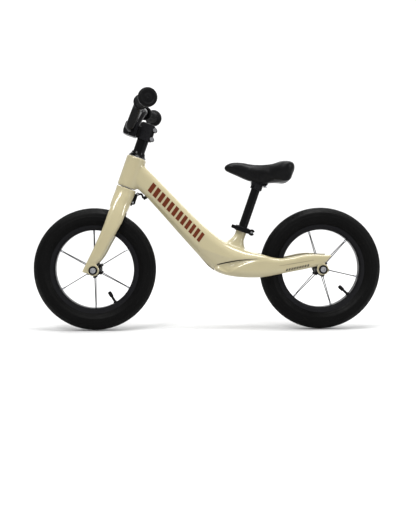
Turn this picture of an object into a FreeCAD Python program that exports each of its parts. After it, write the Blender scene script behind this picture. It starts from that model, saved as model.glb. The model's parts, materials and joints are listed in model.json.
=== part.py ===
import FreeCAD, Part
import math
import os

# Balance bike with 12-inch wheels, in millimetres.
# The bike faces -X, its right side is +Y and +Z is up.
# The origin is on the ground, midway between the two axles.

# Driving dimensions: wheels
WHEELBASE = 552.0
TYRE_RADIUS = 150.0
TYRE_WIDTH = 48.0
BEAD_SEAT_RADIUS = 101.5
RIM_FLANGE_RADIUS = 107.5
RIM_INNER_RADIUS = 95.0
RIM_WIDTH = 31.0
SPOKE_PAIRS = 6
SPOKE_DIAMETER = 2.0
FRONT_SPOKE_ANGLE = 91.0
REAR_SPOKE_ANGLE = 47.0
FRONT_VALVE_ANGLE = -59.0
REAR_VALVE_ANGLE = -43.0

# Driving dimensions: hubs and axles
OVER_LOCKNUT = 76.0
AXLE_DIAMETER = 12.0
HUB_HALF_LENGTH = 28.0
HUB_FLANGE_OFFSET = 15.0
HUB_BEARING_DIAMETER = 24.0
HUB_BEARING_WIDTH = 6.0
DROPOUT_RADIUS = 14.0
DROPOUT_OUTSIDE = 47.0
CUP_WASHER_RADIUS = 10.5
CUP_WASHER_OUTSIDE = 54.0

# Driving dimensions: steering
HEAD_ANGLE = 70.4
HEAD_TUBE_FOOT = FreeCAD.Vector(-197.8, 0.0, 348.7)
HEAD_TUBE_LENGTH = 78.0
HEAD_TUBE_RADIUS = 24.5
STEERER_RADIUS = 14.3
STEERER_TOP = 158.0
BAR_RADIUS = 11.1
STEM_REACH = 37.0
STEM_HEIGHT = 137.6

# Driving dimensions: seat
SEAT_ANGLE = 71.0
SEAT_TUBE_TOP = FreeCAD.Vector(82.0, 0.0, 241.0)
SEAT_POST_RADIUS = 11.1
SEAT_POST_TOP = 122.0
SEAT_POST_INSERTION = 52.0
SEAT_TUBE_DEPTH = 92.0
SEAT_TUBE_RADIUS = 13.9

# Clearances
FACE_GAP = 0.3
SHAFT_GAP = 0.05
TYRE_SIDE_GAP = 5.5
TYRE_TOP_GAP = 7.0

# A length that reaches right through whatever it cuts
THROUGH = 60.0

AXLE_HEIGHT = TYRE_RADIUS
FRONT_AXLE = FreeCAD.Vector(-WHEELBASE / 2, 0.0, AXLE_HEIGHT)
REAR_AXLE = FreeCAD.Vector(WHEELBASE / 2, 0.0, AXLE_HEIGHT)
ACROSS = FreeCAD.Vector(0.0, 1.0, 0.0)
CHANNEL_HALF_WIDTH = TYRE_WIDTH / 2 + TYRE_SIDE_GAP
DROPOUT_INSIDE = OVER_LOCKNUT / 2
SIDES = (-1.0, 1.0)


class TiltedAxis:
    """A line in the mid-plane, with distances along it, behind it and across the bike."""

    def __init__(self, foot, angle):
        """Stands at the foot point and leans back from the ground by the angle."""
        lean = math.radians(angle)
        self.foot = foot
        self.along = FreeCAD.Vector(math.cos(lean), 0.0, math.sin(lean))
        self.behind = FreeCAD.Vector(math.sin(lean), 0.0, -math.cos(lean))

    def at(self, behind, across, along):
        """The point at these three distances from the foot."""
        return self.foot + self.behind * behind + ACROSS * across + self.along * along

    def place(self, shape):
        """Moves a shape that was modelled at the origin, with Z along the line and X behind it."""
        matrix = FreeCAD.Matrix(
            self.behind.x, 0.0, self.along.x, self.foot.x,
            0.0, 1.0, 0.0, self.foot.y,
            self.behind.z, 0.0, self.along.z, self.foot.z,
            0.0, 0.0, 0.0, 1.0)
        return shape.transformed(matrix)


STEERING = TiltedAxis(HEAD_TUBE_FOOT, HEAD_ANGLE)
SEAT = TiltedAxis(SEAT_TUBE_TOP, SEAT_ANGLE)


def vector(x, y, z):
    return FreeCAD.Vector(x, y, z)


def cylinder(start, direction, radius, length):
    return Part.makeCylinder(radius, length, start, direction)


def tube(start, direction, outer, inner, length):
    return cylinder(start, direction, outer, length).cut(cylinder(start, direction, inner, length))


def box(low, high):
    """A block between two opposite corners."""
    size = high - low
    return Part.makeBox(size.x, size.y, size.z, low)


def turned(profile, centre, direction):
    """A ring or disc turned about a line: the profile is a closed list of (radius, distance)."""
    corners = [vector(radius, 0.0, distance) for radius, distance in profile]
    face = Part.Face(Part.makePolygon(corners + corners[:1]))
    ring = face.revolve(vector(0, 0, 0), vector(0, 0, 1), 360)
    ring.Placement = FreeCAD.Placement(centre, FreeCAD.Rotation(vector(0, 0, 1), direction))
    return ring


def joined(shapes):
    """One solid made of shapes that overlap."""
    first, *others = shapes
    return first.multiFuse(others).removeSplitter()


def mirrored(shape):
    """The same shape on the other side of the bike."""
    return shape.mirror(vector(0, 0, 0), ACROSS)


def both_sides(shape):
    """Two separate solids, one on each side."""
    return Part.makeCompound([shape, mirrored(shape)])


def rounded_section(low, high, width, corner):
    """A closed rounded rectangle that stands between two points of the mid-plane."""
    up = (high - low).normalize()
    middle = (low + high) * 0.5
    half_height = (high - low).Length / 2
    half_width = width / 2
    edges = []
    turns = ((1, 1), (-1, 1), (-1, -1), (1, -1))
    last = None
    for side, level in turns:
        centre = middle + ACROSS * side * (half_width - corner) + up * level * (half_height - corner)
        sideways = centre + ACROSS * side * corner
        upright = centre + up * level * corner
        bulge = centre + (ACROSS * side + up * level).normalize() * corner
        start, end = (sideways, upright) if side == level else (upright, sideways)
        if last:
            edges.append(Part.makeLine(last, start))
        else:
            first = start
        edges.append(Part.Arc(start, bulge, end).toShape())
        last = end
    edges.append(Part.makeLine(last, first))
    return Part.Wire(edges)


def loft(sections):
    return Part.makeLoft(sections, True, False)


def rounded_path(points, radii):
    """Straight runs through the points, joined by tangent arcs of the given radii."""
    edges = []
    start = points[0]
    for before, corner, after, radius in zip(points, points[1:], points[2:], radii):
        back = (before - corner).normalize()
        ahead = (after - corner).normalize()
        half_angle = back.getAngle(ahead) / 2
        reach = radius / math.tan(half_angle)
        depth = radius / math.sin(half_angle) - radius
        enter = corner + back * reach
        leave = corner + ahead * reach
        edges.append(Part.makeLine(start, enter))
        edges.append(Part.Arc(enter, corner + (back + ahead).normalize() * depth, leave).toShape())
        start = leave
    edges.append(Part.makeLine(start, points[-1]))
    return Part.Wire(edges)


def swept_rod(path, radius):
    start = path.Edges[0].firstVertex(True).Point
    direction = path.Edges[0].tangentAt(path.Edges[0].FirstParameter)
    circle = Part.Wire(Part.makeCircle(radius, start, direction))
    return path.makePipeShell([circle], True, True)


# Frame and fork castings

# Each section is (lower point, upper point, width, corner radius), from the head tube to the dropouts.
FRAME_SECTIONS = (
    ((-194, 375), (-161, 409), 36, 14),
    ((-151, 327), (-115, 362), 40, 15),
    ((-107, 278), (-70, 315), 43, 16),
    ((-63, 229), (-23, 268), 47, 17),
    ((-19, 180), (19, 232), 54, 19),
    ((17, 145), (55, 210), 66, 21),
    ((66, 131), (93, 196), 84, 21),
    ((117, 129.5), (128, 187), 96, 16),
    ((158, 135), (160, 178), 96, 12),
    ((210, 145.5), (210, 181.5), 94, 10),
    ((262, 157.5), (264, 186.2), 94, 7),
    ((285, 168), (298.5, 184.6), 93, 4),
)

# Each section is (height, front, rear, width, corner radius) around the foot of the seat tube.
SEAT_TUBE_SECTIONS = (
    (180, 6, 112, 58, 18),
    (200, 22, 91, 44, 16),
    (215, 43, 88, 34, 14),
    (228, 60, 90, 29, 13),
    (240, 67.7, 95, 27.8, 13),
)

# Each section is (distance along the steering axis, front, rear, width, corner radius).
FORK_SECTIONS = (
    (-1, -24.5, 24.5, 49, 23),
    (-25, -23.5, 24.0, 58, 22),
    (-50, -22.8, 22.5, 76, 20),
    (-78, -20.6, 20.5, 88, 14),
    (-112, -20.0, 14.8, 92, 9),
    (-150, -22.9, 7.8, 93, 8),
    (-185, -26.6, 1.0, 93, 7),
    (-226, -31.6, -17.0, 92, 5),
)

STEERER_DEPTH_IN_CROWN = 40.0
CROWN_ARCH = -52.0
HEADSET_BEARING_RADIUS = 20.9
HEADSET_BEARING_WIDTH = 7.0
HEADSET_SEAT_DEPTH = 8.5
HEADSET_BORE = 16.0
HEAD_TUBE_BORE = 16.5
CHAMFER = 3.5
CLAMP_STUB = 11.0
SEAT_TUBE_COLLAR = 25.0
SLIT_WIDTH = 3.0
SLIT_DEPTH = 20.0
CASTING_WALL = 5.0
CAVITY_SECTIONS = FRAME_SECTIONS[1:7]
BOLT_HOLE_RADIUS = 4.1
# The wheel channel narrows between these distances ahead of the axle.
CHANNEL_WIDE = 30.0
CHANNEL_NARROW = 95.0


def wheel_channel(axle, rearward):
    """The room for the wheel between the stays or the fork legs, wider at the dropouts."""
    clearance = TYRE_RADIUS + TYRE_TOP_GAP
    round_part = cylinder(axle - ACROSS * CHANNEL_HALF_WIDTH, ACROSS, clearance, 2 * CHANNEL_HALF_WIDTH)
    outline = []
    for side in SIDES:
        half = [(CHANNEL_NARROW, CHANNEL_HALF_WIDTH), (CHANNEL_WIDE, DROPOUT_INSIDE),
                (-THROUGH, DROPOUT_INSIDE)]
        if side > 0:
            half.reverse()
        outline += [(along, side * width) for along, width in half]
    bottom = [vector(-rearward.x * along, width, -rearward.z * along) for along, width in outline]
    normal = rearward.cross(ACROSS)
    face = Part.Face(Part.makePolygon(bottom + bottom[:1]))
    face.translate(axle - normal * THROUGH)
    return round_part.fuse(face.extrude(normal * 2 * THROUGH))


def dropout_bosses(axle):
    thickness = DROPOUT_OUTSIDE - DROPOUT_INSIDE
    return [cylinder(axle + ACROSS * side * DROPOUT_INSIDE, ACROSS * side, DROPOUT_RADIUS, thickness)
            for side in SIDES]


def dropout_holes(axle):
    return cylinder(axle - ACROSS * THROUGH, ACROSS, BOLT_HOLE_RADIUS, 2 * THROUGH)


def head_tube():
    """The outside of the head tube, with both rims bevelled."""
    profile = (
        (0, 0), (HEAD_TUBE_RADIUS - CHAMFER, 0), (HEAD_TUBE_RADIUS, CHAMFER),
        (HEAD_TUBE_RADIUS, HEAD_TUBE_LENGTH - CHAMFER),
        (HEAD_TUBE_RADIUS - CHAMFER, HEAD_TUBE_LENGTH), (0, HEAD_TUBE_LENGTH),
    )
    return turned(profile, STEERING.foot, STEERING.along)


def head_tube_bores():
    foot = STEERING.foot
    along = STEERING.along
    top = STEERING.at(0, 0, HEAD_TUBE_LENGTH)
    return [
        cylinder(foot, along, HEAD_TUBE_BORE, HEAD_TUBE_LENGTH),
        cylinder(foot, along, HEADSET_BEARING_RADIUS, HEADSET_SEAT_DEPTH),
        cylinder(top, along * -1, HEADSET_BEARING_RADIUS, HEADSET_SEAT_DEPTH),
    ]


def beam_solid(sections, inset):
    """The beam and the stays, or with an inset the hollow inside them."""
    wires = []
    for low, high, width, corner in sections:
        bottom = vector(low[0], 0, low[1])
        top = vector(high[0], 0, high[1])
        step = (top - bottom).normalize() * inset
        wires.append(rounded_section(bottom + step, top - step, width - 2 * inset, corner - inset / 2))
    return loft(wires)


def beam_cavity():
    """The sealed hollow in the beam, closed off around the bore for the seat post."""
    head_wall = cylinder(STEERING.at(0, 0, -THROUGH), STEERING.along,
                         HEAD_TUBE_BORE + 2 * CASTING_WALL, HEAD_TUBE_LENGTH + 2 * THROUGH)
    bore_wall = cylinder(SEAT.at(0, 0, -SEAT_TUBE_DEPTH - CASTING_WALL), SEAT.along,
                         SEAT_POST_RADIUS + CASTING_WALL, SEAT_TUBE_DEPTH + THROUGH)
    return beam_solid(CAVITY_SECTIONS, CASTING_WALL).cut([bore_wall, head_wall])


def frame_casting():
    beam = beam_solid(FRAME_SECTIONS, 0)
    seat_foot = loft([
        rounded_section(vector(front, 0, height), vector(rear, 0, height), width, corner)
        for height, front, rear, width, corner in SEAT_TUBE_SECTIONS])
    seat_tube = cylinder(SEAT.at(0, 0, -SEAT_TUBE_COLLAR), SEAT.along, SEAT_TUBE_RADIUS,
                         SEAT_TUBE_COLLAR + CLAMP_STUB)
    beam = beam.cut(wheel_channel(REAR_AXLE, vector(1, 0, 0)))
    casting = joined([beam, seat_foot, seat_tube, head_tube()] + dropout_bosses(REAR_AXLE))
    post_bore = cylinder(SEAT.at(0, 0, -SEAT_TUBE_DEPTH), SEAT.along,
                         SEAT_POST_RADIUS + SHAFT_GAP, SEAT_TUBE_DEPTH + THROUGH)
    slit = SEAT.place(box(vector(0, -SLIT_WIDTH / 2, -SLIT_DEPTH),
                          vector(SEAT_TUBE_RADIUS + CASTING_WALL, SLIT_WIDTH / 2, THROUGH)))
    return casting.cut(head_tube_bores() + [post_bore, slit, dropout_holes(REAR_AXLE), beam_cavity()])


def fork_casting():
    body = loft([
        rounded_section(STEERING.at(front, 0, along), STEERING.at(rear, 0, along), width, corner)
        for along, front, rear, width, corner in FORK_SECTIONS])
    body = body.cut(wheel_channel(FRONT_AXLE, STEERING.along * -1))
    body = body.fuse(dropout_bosses(FRONT_AXLE)).removeSplitter()
    steerer_bore = cylinder(STEERING.at(0, 0, -STEERER_DEPTH_IN_CROWN), STEERING.along,
                            STEERER_RADIUS, STEERER_DEPTH_IN_CROWN)
    return body.cut([steerer_bore, dropout_holes(FRONT_AXLE)])


# Headset, steerer and stem

STEM_FOOT = 122.0
STEM_TOP = 160.0
STEM_CLAMP_RADIUS = 19.5
STEM_BOX = 17.0
STEM_HALF_WIDTH = 21.0
STEM_FRONT = 15.0
STEM_BLOCK_ROUNDING = 9.0
STEM_NECK_HALF_WIDTH = 16.0
STEM_EAR_SIDE = 11.0
STEM_SLOT = 1.6
STEM_SPLIT = -STEM_REACH - 0.8
STEM_BOLT_BEHIND = 20.0
STEM_BOLT_HEIGHTS = (130.0, 153.0)
FACEPLATE_BOLT_SIDE = 15.0
FACEPLATE_HOLE_DEPTH = 19.0
FACEPLATE_BOLT_SEAT = -48.0
FACEPLATE_BOLT_RISE = 13.6
SMALL_BOLT_RADIUS = 2.0
STEM_BOLT_RADIUS = 2.5
COVER_FOOT = HEAD_TUBE_LENGTH + FACE_GAP
COVER_HEIGHT = 12.0
STEERER_BORE = 11.9
STAR_NUT_DEPTH = 22.0
CAP_BOLT_RADIUS = 3.0
CAP_RECESS = 1.4


def headset_bearing(along):
    return tube(STEERING.at(0, 0, along), STEERING.along,
                HEADSET_BEARING_RADIUS, HEADSET_BORE, HEADSET_BEARING_WIDTH)


def compression_ring():
    foot = STEERING.at(0, 0, HEAD_TUBE_LENGTH - HEADSET_BEARING_WIDTH)
    return tube(foot, STEERING.along, HEADSET_BORE - SHAFT_GAP, STEERER_RADIUS,
                HEADSET_BEARING_WIDTH + FACE_GAP)


def headset_cover():
    profile = (
        (STEERER_RADIUS, 0), (21.5, 0), (22.0, 0.8), (19.5, 3.5),
        (17.2, 7.5), (16.2, COVER_HEIGHT), (STEERER_RADIUS, COVER_HEIGHT),
    )
    return turned(profile, STEERING.at(0, 0, COVER_FOOT), STEERING.along)


def steerer_tube():
    length = STEERER_DEPTH_IN_CROWN + STEERER_TOP
    return tube(STEERING.at(0, 0, -STEERER_DEPTH_IN_CROWN), STEERING.along,
                STEERER_RADIUS, STEERER_BORE, length)


def star_nut():
    """A nut with two sprung collars, pressed into the steerer."""
    profile = (
        (CAP_BOLT_RADIUS, 0), (STEERER_BORE, 0), (STEERER_BORE, 1.0), (5.0, 2.5), (5.0, 8.5),
        (STEERER_BORE, 9.5), (STEERER_BORE, 10.5), (CAP_BOLT_RADIUS, 10.5),
    )
    return turned(profile, STEERING.at(0, 0, STEERER_TOP - STAR_NUT_DEPTH), STEERING.along)


def top_cap():
    profile = (
        (3.2, 0), (17.5, 0), (17.5, 1.5), (15.5, 3.6),
        (8.0, 4.4), (6.0, 4.4), (6.0, CAP_RECESS), (3.2, CAP_RECESS),
    )
    return turned(profile, STEERING.at(0, 0, STEM_TOP), STEERING.along)


def top_cap_bolt():
    start = STEERING.at(0, 0, STEM_TOP + CAP_RECESS)
    return socket_bolt(start, STEERING.along * -1, CAP_BOLT_RADIUS, 27.0, 5.5, 3.4)


def hex_socket(start, direction, across_flats, depth):
    """The six-sided hole in the head of a bolt."""
    radius = across_flats / math.sqrt(3)
    corners = [vector(radius * math.cos(math.radians(60 * k)), radius * math.sin(math.radians(60 * k)), 0)
               for k in range(7)]
    key = Part.Face(Part.makePolygon(corners)).extrude(vector(0, 0, depth))
    key.Placement = FreeCAD.Placement(start, FreeCAD.Rotation(vector(0, 0, 1), direction))
    return key


def socket_bolt(start, direction, shank_radius, shank_length, head_radius, head_height):
    """A bolt whose head stands on the start point and whose shank runs along the direction."""
    shank = cylinder(start, direction, shank_radius, shank_length)
    head = cylinder(start, direction * -1, head_radius, head_height)
    socket = hex_socket(start - direction * head_height, direction, 1.1 * head_radius, 0.6 * head_height)
    return shank.fuse(head).cut(socket)


def bar_clamp_block():
    """The block around the handlebar, in the steering axis's own directions."""
    low = STEM_HEIGHT - STEM_BOX
    high = STEM_HEIGHT + STEM_BOX
    block = box(vector(-STEM_REACH - STEM_FRONT, -STEM_HALF_WIDTH, low),
                vector(-STEM_REACH + STEM_BOX, STEM_HALF_WIDTH, high))
    front = [edge for edge in block.Edges
             if edge.CenterOfMass.x < -STEM_REACH and edge.BoundBox.YLength > STEM_HALF_WIDTH]
    return block.makeFillet(STEM_BLOCK_ROUNDING, front)


def bar_bore():
    start = vector(-STEM_REACH, -THROUGH, STEM_HEIGHT)
    return cylinder(start, ACROSS, BAR_RADIUS + SHAFT_GAP, 2 * THROUGH)


def faceplate_bolt_places():
    return [(side * FACEPLATE_BOLT_SIDE, STEM_HEIGHT + level * FACEPLATE_BOLT_RISE)
            for side in SIDES for level in SIDES]


def faceplate_bolt_holes(radius):
    return [cylinder(vector(-STEM_REACH - THROUGH, across, along), vector(1, 0, 0), radius,
                     THROUGH + FACEPLATE_HOLE_DEPTH)
            for across, along in faceplate_bolt_places()]


def stem_body():
    clamp = cylinder(vector(0, 0, STEM_FOOT), vector(0, 0, 1), STEM_CLAMP_RADIUS, STEM_TOP - STEM_FOOT)
    neck = box(vector(-STEM_REACH, -STEM_NECK_HALF_WIDTH, STEM_HEIGHT - 13),
               vector(0, STEM_NECK_HALF_WIDTH, STEM_HEIGHT + 15))
    neck = neck.makeFillet(5.0, [edge for edge in neck.Edges if edge.BoundBox.XLength > STEM_REACH / 2])
    web = box(vector(0, -10, STEM_FOOT + 3), vector(STEM_BOLT_BEHIND, 10, STEM_TOP - 2))
    ears = [cylinder(vector(STEM_BOLT_BEHIND, -STEM_EAR_SIDE, along), ACROSS, 5.5, 2 * STEM_EAR_SIDE)
            for along in STEM_BOLT_HEIGHTS]
    body = joined([bar_clamp_block(), clamp, neck, web] + ears)
    front = box(vector(-STEM_REACH - THROUGH, -THROUGH, STEM_FOOT - THROUGH),
                vector(-STEM_REACH, THROUGH, STEM_TOP + THROUGH))
    slot = box(vector(0, -STEM_SLOT / 2, STEM_FOOT), vector(THROUGH, STEM_SLOT / 2, STEM_TOP))
    steerer = cylinder(vector(0, 0, 0), vector(0, 0, 1), STEERER_RADIUS, STEM_TOP)
    bolts = [cylinder(vector(STEM_BOLT_BEHIND, -THROUGH, along), ACROSS, STEM_BOLT_RADIUS, 2 * THROUGH)
             for along in STEM_BOLT_HEIGHTS]
    return STEERING.place(body.cut([front, slot, steerer, bar_bore()] + bolts
                                   + faceplate_bolt_holes(SMALL_BOLT_RADIUS)))


def stem_faceplate():
    rear = box(vector(STEM_SPLIT, -THROUGH, STEM_FOOT - THROUGH),
               vector(THROUGH, THROUGH, STEM_TOP + THROUGH))
    window = box(vector(-STEM_REACH - THROUGH, -7, STEM_HEIGHT - 8), vector(-STEM_REACH, 7, STEM_HEIGHT + 8))
    recesses = [cylinder(vector(FACEPLATE_BOLT_SEAT, across, along), vector(-1, 0, 0), 3.6, THROUGH)
                for across, along in faceplate_bolt_places()]
    plate = bar_clamp_block().cut([rear, window, bar_bore()] + recesses
                                  + faceplate_bolt_holes(SMALL_BOLT_RADIUS))
    return STEERING.place(plate)


def faceplate_bolts():
    bolts = [socket_bolt(vector(FACEPLATE_BOLT_SEAT, across, along), vector(1, 0, 0), SMALL_BOLT_RADIUS,
                         28, 3.5, 3.2) for across, along in faceplate_bolt_places()]
    return STEERING.place(Part.makeCompound(bolts))


def stem_clamp_bolts():
    bolts = [socket_bolt(vector(STEM_BOLT_BEHIND, -STEM_EAR_SIDE, along), ACROSS, STEM_BOLT_RADIUS,
                         24, 4.5, 4.0)
             for along in STEM_BOLT_HEIGHTS]
    return STEERING.place(Part.makeCompound(bolts))


# Handlebar and grips

BAR_CENTRE = STEERING.at(-STEM_REACH, 0, STEM_HEIGHT)
RISE_START = BAR_CENTRE + FreeCAD.Vector(0.0, 36.0, 0.0)
RISE_END = BAR_CENTRE + FreeCAD.Vector(24.5, 78.0, 50.8)
BAR_END = BAR_CENTRE + FreeCAD.Vector(49.5, 196.0, 48.5)
INNER_BEND_RADIUS = 25.0
OUTER_BEND_RADIUS = 35.0
BAR_WALL = 2.0
GRIP_LENGTH = 100.0
GRIP_RADIUS = 14.6
GRIP_COLLAR_RADIUS = 17.5
GRIP_KNOB_RADIUS = 21.7
GRIP_KNOB_LENGTH = 12.0
GRIP_END_WALL = 4.5
GRIP_RIBS = 9
GRIP_RIB_PITCH = 8.0
GRIP_RIB_DEPTH = 1.2


def handlebar_tube():
    half = [RISE_START, RISE_END, BAR_END]
    other = [vector(point.x, -point.y, point.z) for point in reversed(half)]
    radii = (OUTER_BEND_RADIUS, INNER_BEND_RADIUS, INNER_BEND_RADIUS, OUTER_BEND_RADIUS)
    path = rounded_path(other + half, radii)
    return swept_rod(path, BAR_RADIUS).cut(swept_rod(path, BAR_RADIUS - BAR_WALL))


def grip():
    """The grip on the right side: a thin collar, a ribbed sleeve and a round safety knob."""
    outward = (BAR_END - RISE_END).normalize()
    start = BAR_END + outward * GRIP_END_WALL - outward * GRIP_LENGTH
    knob = GRIP_LENGTH - GRIP_KNOB_LENGTH
    tip = GRIP_LENGTH - GRIP_END_WALL
    valley = GRIP_RADIUS - GRIP_RIB_DEPTH
    profile = [(BAR_RADIUS, 0), (GRIP_COLLAR_RADIUS - 1, 0), (GRIP_COLLAR_RADIUS, 1), (GRIP_COLLAR_RADIUS, 3),
               (GRIP_COLLAR_RADIUS - 1, 4), (valley, 5)]
    for rib in range(1, GRIP_RIBS + 1):
        foot = rib * GRIP_RIB_PITCH
        profile += [(valley, foot), (GRIP_RADIUS, foot + 1), (GRIP_RADIUS, foot + 5), (valley, foot + 6)]
    profile += [(GRIP_RADIUS, knob - 5), (GRIP_KNOB_RADIUS - 1.5, knob - 2), (GRIP_KNOB_RADIUS, knob),
                (GRIP_KNOB_RADIUS, knob + 8), (GRIP_KNOB_RADIUS - 1.4, knob + 10.6),
                (GRIP_KNOB_RADIUS - 5, knob + 11.8), (2.5, knob + 12), (2.5, tip + 1.5),
                (0, tip + 1.5), (0, tip), (BAR_RADIUS, tip)]
    return turned(profile, start, outward)


# Seat clamp, lever and saddle

CLAMP_OUTSIDE = 17.5
CLAMP_HEIGHT = 12.5
CLAMP_EAR_SIDE = 9.0
SKEWER_BEHIND = 23.0
SKEWER_HEIGHT = 5.5
SKEWER_RADIUS = 2.4
SKEWER_STUB = 3.4
LEVER_PIVOT_SIDE = -17.8
LEVER_HEAD_RADIUS = 7.2
LEVER_CAM_RADIUS = 8.4
LEVER_PIN_RADIUS = 1.6
FORK_SLOT_DEPTH = 4.9
# The arm of the closed lever, seen from above: (behind, across).
LEVER_ARM = (
    (24, -25.5), (8, -24.3), (-8, -24.0), (-20, -24.6), (-28, -26.4), (-28.5, -23.0),
    (-20, -20.6), (-8, -18.6), (10, -18.4), (17, -16.5), (24, -16.5),
)
# Half the arm's height along it: (behind, half height).
LEVER_TAPER = ((30, 5.2), (-10, 4.4), (-32, 3.4))


def seat_clamp_collar():
    ring = cylinder(vector(0, 0, -0.5), vector(0, 0, 1), CLAMP_OUTSIDE, CLAMP_HEIGHT + 0.5)
    ears = box(vector(8, -CLAMP_EAR_SIDE, 0), vector(SKEWER_BEHIND + 5.5, CLAMP_EAR_SIDE, CLAMP_HEIGHT - 1.5))
    ears = ears.makeFillet(4.0, [edge for edge in ears.Edges
                                 if edge.BoundBox.YLength > 10 and edge.CenterOfMass.x > 20])
    bore = cylinder(vector(0, 0, -5), vector(0, 0, 1), SEAT_TUBE_RADIUS, 5 + CLAMP_STUB)
    throat = cylinder(vector(0, 0, 0), vector(0, 0, 1), SEAT_POST_RADIUS + FACE_GAP, THROUGH)
    slot = box(vector(0, -SLIT_WIDTH / 2, -THROUGH), vector(THROUGH, SLIT_WIDTH / 2, THROUGH))
    hole = cylinder(vector(SKEWER_BEHIND, -THROUGH, SKEWER_HEIGHT), ACROSS, SKEWER_RADIUS, 2 * THROUGH)
    return SEAT.place(ring.fuse(ears).cut([bore, throat, slot, hole]))


def seat_clamp_skewer():
    """A rod across the clamp, with an eye for the lever's pin."""
    start = vector(SKEWER_BEHIND, LEVER_PIVOT_SIDE - SKEWER_STUB, SKEWER_HEIGHT)
    rod = cylinder(start, ACROSS, SKEWER_RADIUS, 17 - start.y)
    eye = cylinder(vector(SKEWER_BEHIND, LEVER_PIVOT_SIDE, 0), vector(0, 0, 1),
                   LEVER_PIN_RADIUS + SHAFT_GAP, 20)
    return SEAT.place(rod.cut(eye))


def seat_clamp_nut():
    start = vector(SKEWER_BEHIND, CLAMP_EAR_SIDE, SKEWER_HEIGHT)
    return SEAT.place(tube(start, ACROSS, 5.5, SKEWER_RADIUS, 6.5))


def upright_rectangle(behind, half_height):
    """A section across the lever's arm, from its outer side to the mid-plane."""
    corners = [vector(behind, across, half_height * level)
               for across, level in ((-THROUGH, -1), (0, -1), (0, 1), (-THROUGH, 1))]
    return Part.makePolygon(corners + corners[:1])


def seat_clamp_lever():
    """The quick-release lever: a forked cam head behind the post and an arm along the left side."""
    centre = vector(SKEWER_BEHIND, LEVER_PIVOT_SIDE, SKEWER_HEIGHT)
    head = cylinder(centre - ACROSS * 10, ACROSS, LEVER_HEAD_RADIUS, 20)
    head = head.common(cylinder(centre - vector(0, 0, 20), vector(0, 0, 1), LEVER_CAM_RADIUS, 40))
    foot = SKEWER_HEIGHT - LEVER_TAPER[0][1]
    outline = [vector(behind, across, foot) for behind, across in LEVER_ARM]
    arm = Part.Face(Part.makePolygon(outline + outline[:1])).extrude(vector(0, 0, 2 * LEVER_TAPER[0][1]))
    taper = loft([upright_rectangle(behind, half) for behind, half in LEVER_TAPER])
    taper.translate(vector(0, 0, SKEWER_HEIGHT))
    arm = arm.common(taper)
    cam = head.fuse(arm)
    half_slot = SKEWER_RADIUS + FACE_GAP
    fork_slot = box(centre - vector(FORK_SLOT_DEPTH, THROUGH, half_slot),
                    centre + vector(THROUGH, THROUGH, half_slot))
    pin_hole = cylinder(centre - vector(0, 0, THROUGH), vector(0, 0, 1), LEVER_PIN_RADIUS, 2 * THROUGH)
    return SEAT.place(cam.cut([fork_slot, pin_hole]))


def seat_clamp_lever_pin():
    start = vector(SKEWER_BEHIND, LEVER_PIVOT_SIDE, SKEWER_HEIGHT - 6.3)
    return SEAT.place(cylinder(start, vector(0, 0, 1), LEVER_PIN_RADIUS, 12.6))


def seat_post():
    start = SEAT.at(0, 0, -SEAT_POST_INSERTION)
    length = SEAT_POST_INSERTION + SEAT_POST_TOP
    return tube(start, SEAT.along, SEAT_POST_RADIUS, SEAT_POST_RADIUS - 2.0, length)


# Each section is (place along the saddle, bottom, top, width, corner radius), from nose to tail.
CUSHION_SECTIONS = (
    (39, 391, 399, 16, 3.5),
    (52, 388, 407.5, 30, 9),
    (80, 382, 406.7, 37, 11),
    (110, 377, 401, 46, 11),
    (140, 375, 400, 72, 11),
    (168, 376, 405.5, 104, 13),
    (190, 378, 411.3, 116, 14),
    (204, 384, 409, 98, 11),
    (209, 388, 402, 74, 6),
)
BASE_SECTIONS = (
    (44, 386, 394, 14, 3.5),
    (80, 373, 388, 28, 6),
    (112, 361, 384, 38, 8),
    (140, 359, 383, 62, 9),
    (168, 363, 384, 94, 9),
    (190, 362, 386, 106, 9),
    (203, 377, 391, 84, 6),
)


def saddle_solid(sections):
    return loft([rounded_section(vector(x, 0, bottom), vector(x, 0, top), width, corner)
                 for x, bottom, top, width, corner in sections])


def saddle_cushion():
    return saddle_solid(CUSHION_SECTIONS)


def saddle_clamp():
    """The block on top of the post that carries the saddle base."""
    socket = tube(SEAT.at(0, 0, SEAT_POST_TOP - 14), SEAT.along, 14.5, SEAT_POST_RADIUS, 14)
    block = box(vector(106, -13, 352), vector(146, 13, 371))
    block = block.makeFillet(5.0, [edge for edge in block.Edges if edge.BoundBox.YLength > 20])
    post = cylinder(SEAT.at(0, 0, 0), SEAT.along, SEAT_POST_RADIUS, SEAT_POST_TOP)
    return block.fuse(socket).cut(post)


def saddle_clamp_bolt():
    return socket_bolt(vector(141, 0, 352), vector(0, 0, 1), 3.0, 18, 5.0, 4.0)


def saddle_base(cushion, clamp, bolt):
    """The shell under the cushion, with a short tail lip."""
    shell = saddle_solid(BASE_SECTIONS)
    lip = box(vector(186, -26, 358), vector(191, 26, 372))
    return shell.fuse(lip).cut([cushion, clamp, bolt])


# Wheels

TYRE_WALL = 3.5
BEAD_OUTSIDE = 12.8
BEAD_INSIDE = 10.3
RIM_FLANGE_INSIDE = 13.0
RIM_WELL_RADIUS = 101.3
TAPE_HALF_WIDTH = 8.2
TAPE_RADIUS = 102.1
TYRE_SECTION_RADIUS = TYRE_WIDTH / 2
TYRE_SECTION_CENTRE = TYRE_RADIUS - TYRE_SECTION_RADIUS
HUB_END_RADIUS = 15.0
LOBE_RADIUS = 3.8
LOBE_TOP = 20.5
SPOKE_RIM_OFFSET = 4.5
NIPPLE_RADIUS = 2.0
NIPPLE_LENGTH = 11.0
VALVE_RADIUS = 3.2
VALVE_COLLAR_RADIUS = 4.6
HUB_CORE_RADIUS = 7.5


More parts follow.
